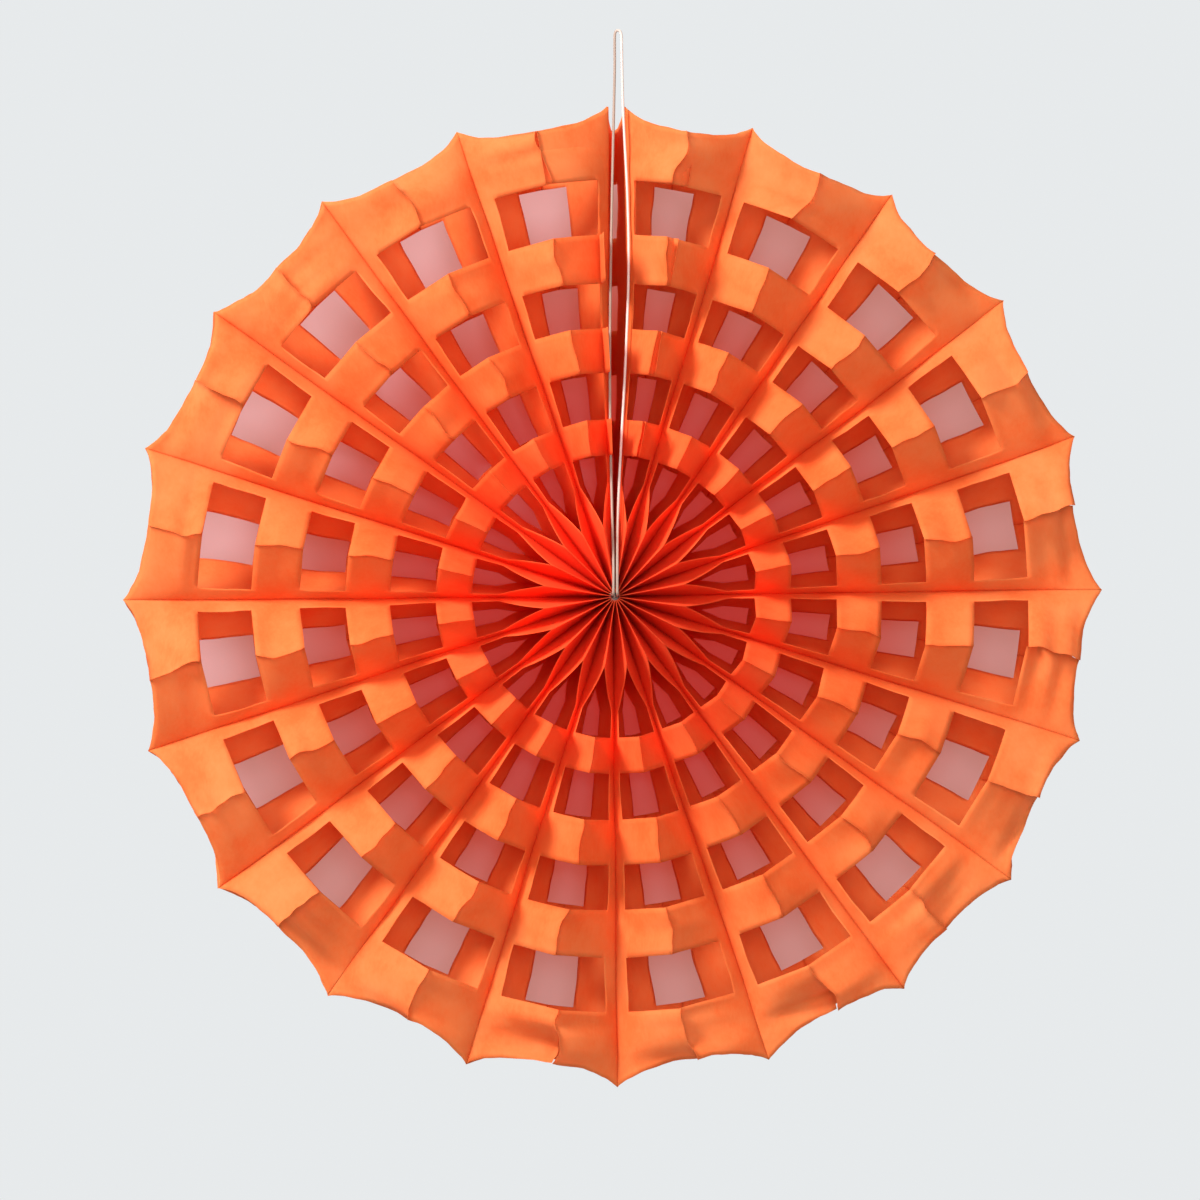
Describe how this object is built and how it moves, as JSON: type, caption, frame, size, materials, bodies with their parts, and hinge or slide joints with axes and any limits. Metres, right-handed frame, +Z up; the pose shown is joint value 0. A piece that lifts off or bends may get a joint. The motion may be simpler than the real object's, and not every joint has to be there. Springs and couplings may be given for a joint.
{
  "type": "paper fan rosette",
  "caption": "Honeycomb tissue-paper fan rosette with cut-out windows, opened into a full disc and hung from a fine thread loop.",
  "frame": {"origin": "centre of the disc, on its axis, half way through its depth", "axes": "-Y is the front of the disc, +Z is up toward the loop it hangs from, and X runs across"},
  "size_m": [0.4, 0.0844, 0.4315],
  "materials": {
    "tissue": "matte",
    "thread": "satin"
  },
  "bodies": {
    "root": {"tissue_sheet_01": "tissue", "tissue_sheet_02": "tissue", "tissue_sheet_03": "tissue", "tissue_sheet_04": "tissue", "tissue_sheet_05": "tissue", "tissue_sheet_06": "tissue", "tissue_sheet_07": "tissue", "tissue_sheet_08": "tissue", "tissue_sheet_09": "tissue", "tissue_sheet_10": "tissue", "tissue_sheet_11": "tissue", "tissue_sheet_12": "tissue", "tissue_sheet_13": "tissue", "tissue_sheet_14": "tissue", "tissue_sheet_15": "tissue", "tissue_sheet_16": "tissue", "tissue_sheet_17": "tissue", "tissue_sheet_18": "tissue", "tissue_sheet_19": "tissue", "tissue_sheet_20": "tissue", "tissue_sheet_21": "tissue", "tissue_sheet_22": "tissue", "tissue_sheet_23": "tissue", "tissue_sheet_24": "tissue", "tissue_sheet_25": "tissue", "tissue_sheet_26": "tissue", "tissue_sheet_27": "tissue", "tissue_sheet_28": "tissue", "tissue_sheet_29": "tissue", "tissue_sheet_30": "tissue", "tissue_sheet_31": "tissue", "tissue_sheet_32": "tissue", "tissue_sheet_33": "tissue", "tissue_sheet_34": "tissue", "tissue_sheet_35": "tissue", "tissue_sheet_36": "tissue", "tissue_sheet_37": "tissue", "tissue_sheet_38": "tissue", "tissue_sheet_39": "tissue", "tissue_sheet_40": "tissue", "tissue_sheet_41": "tissue", "tissue_sheet_42": "tissue", "hanging_loop": "thread", "core_knot": "thread"}
  },
  "joints": []
}
